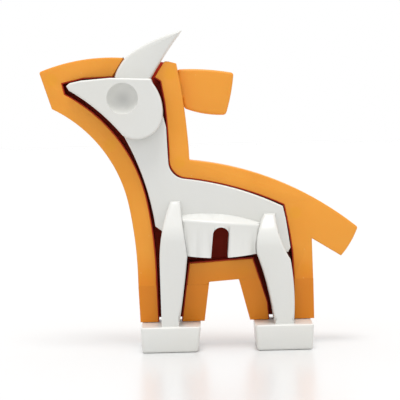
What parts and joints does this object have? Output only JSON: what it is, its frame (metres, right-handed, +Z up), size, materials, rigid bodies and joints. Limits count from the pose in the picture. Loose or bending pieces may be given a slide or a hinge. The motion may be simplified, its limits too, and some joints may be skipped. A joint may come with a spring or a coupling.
{
  "type": "magnetic half-shell animal puzzle",
  "caption": "Stylised antelope toy, opened: a half shell with magnets in its flat split face holds a white skeleton puzzle that pulls apart along its pegs.",
  "frame": {"origin": "on the surface that the feet stand on, in the split plane, midway from nose to tail", "axes": "+X from nose to tail, +Y towards the half shell, +Z up"},
  "size_m": [0.1244, 0.025, 0.1263],
  "materials": {
    "orange_plastic": "injection-moulded orange plastic, satin to gloss",
    "dark_red_plastic": "dark red moulded plastic, matte",
    "white_plastic": "white moulded plastic, soft gloss",
    "magnet_metal": "nickel-plated disc magnets"
  },
  "bodies": {
    "skeleton": {"spine_plate": "white_plastic", "horn": "white_plastic", "right_skull": "white_plastic", "right_rib_cage": "white_plastic", "right_front_leg": "white_plastic", "right_rear_leg": "white_plastic", "right_front_foot": "white_plastic", "right_rear_foot": "white_plastic"},
    "half_shell": {"shell_body": "orange_plastic", "front_rim": "orange_plastic", "belly_rim": "orange_plastic", "back_rim": "orange_plastic", "pocket_liner": "dark_red_plastic", "right_ear": "orange_plastic", "magnet_nose": "magnet_metal", "magnet_nape": "magnet_metal", "magnet_throat": "magnet_metal", "magnet_withers": "magnet_metal", "magnet_chest": "magnet_metal", "magnet_belly": "magnet_metal", "magnet_rump": "magnet_metal", "magnet_thigh": "magnet_metal"},
    "left_skull": {"left_skull": "white_plastic"},
    "left_rib_cage": {"left_rib_cage": "white_plastic"},
    "left_front_leg": {"left_front_leg": "white_plastic", "left_front_foot": "white_plastic"},
    "left_rear_leg": {"left_rear_leg": "white_plastic", "left_rear_foot": "white_plastic"}
  },
  "joints": [
    {"name": "half_shell_slide", "type": "slide", "parent": "skeleton", "child": "half_shell", "axis": [0, 1, 0], "range_m": [0, 0.03]},
    {"name": "left_skull_pull", "type": "slide", "parent": "skeleton", "child": "left_skull", "axis": [0, -1, 0], "range_m": [0, 0.015]},
    {"name": "left_rib_cage_pull", "type": "slide", "parent": "skeleton", "child": "left_rib_cage", "axis": [0, -1, 0], "range_m": [0, 0.015]},
    {"name": "left_front_leg_pull", "type": "slide", "parent": "skeleton", "child": "left_front_leg", "axis": [0, -1, 0], "range_m": [0, 0.015]},
    {"name": "left_rear_leg_pull", "type": "slide", "parent": "skeleton", "child": "left_rear_leg", "axis": [0, -1, 0], "range_m": [0, 0.015]}
  ]
}
